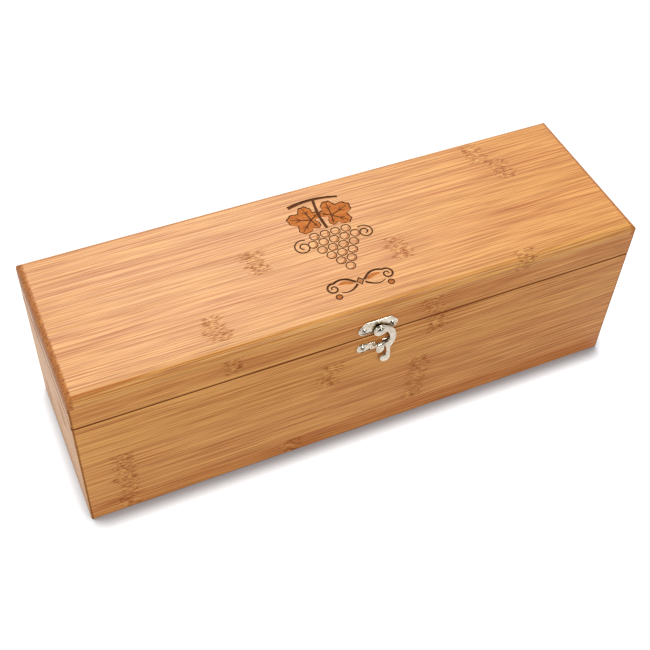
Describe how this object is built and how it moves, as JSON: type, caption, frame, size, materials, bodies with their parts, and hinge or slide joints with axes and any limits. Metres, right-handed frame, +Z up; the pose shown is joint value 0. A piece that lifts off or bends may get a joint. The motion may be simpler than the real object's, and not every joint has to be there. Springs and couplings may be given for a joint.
{
  "type": "wine box",
  "caption": "Long bamboo box for one wine bottle, lying down, with a hinged lid, a metal swing-hook catch on the front and two notched rests inside.",
  "frame": {"origin": "middle of the flat underside, on the plane the box stands on", "axes": "+X along the box to the right as seen from the catch side, +Y towards the hinges at the back, +Z up"},
  "size_m": [0.36, 0.1145, 0.1167],
  "materials": {
    "bamboo_light": "clear satin lacquer",
    "bamboo_dark": "clear satin lacquer",
    "nickel": "nickel plate, softly polished",
    "screw_steel": "zinc-plated steel"
  },
  "bodies": {
    "case": {"front_panel": "bamboo_dark", "back_panel": "bamboo_dark", "left_end_panel": "bamboo_light", "right_end_panel": "bamboo_light", "bottom_panel": "bamboo_light", "bottle_body_rest": "bamboo_light", "bottle_neck_rest": "bamboo_light", "left_hinge_case_leaf": "nickel", "right_hinge_case_leaf": "nickel", "left_hinge_pin": "screw_steel", "right_hinge_pin": "screw_steel", "hinge_case_screws": "screw_steel", "catch_keeper": "nickel", "catch_keeper_screws": "nickel"},
    "lid": {"lid_top_panel": "bamboo_light", "lid_front_rail": "bamboo_dark", "lid_back_rail": "bamboo_dark", "lid_left_rail": "bamboo_light", "lid_right_rail": "bamboo_light", "left_hinge_lid_leaf": "nickel", "right_hinge_lid_leaf": "nickel", "hinge_lid_screws": "screw_steel", "catch_plate": "nickel", "catch_plate_screws": "nickel", "catch_rivet": "nickel"},
    "catch_lever": {"catch_lever": "nickel"}
  },
  "joints": [
    {"name": "lid_hinge", "type": "hinge", "parent": "case", "child": "lid", "pos_m": [0, 0.0528, 0.09185], "axis": [-1, 0, 0], "range_deg": [0, 100]},
    {"name": "catch_swing", "type": "hinge", "parent": "lid", "child": "catch_lever", "pos_m": [0.004, -0.055, 0.09725], "axis": [0, -1, 0], "range_deg": [0, 90]}
  ]
}
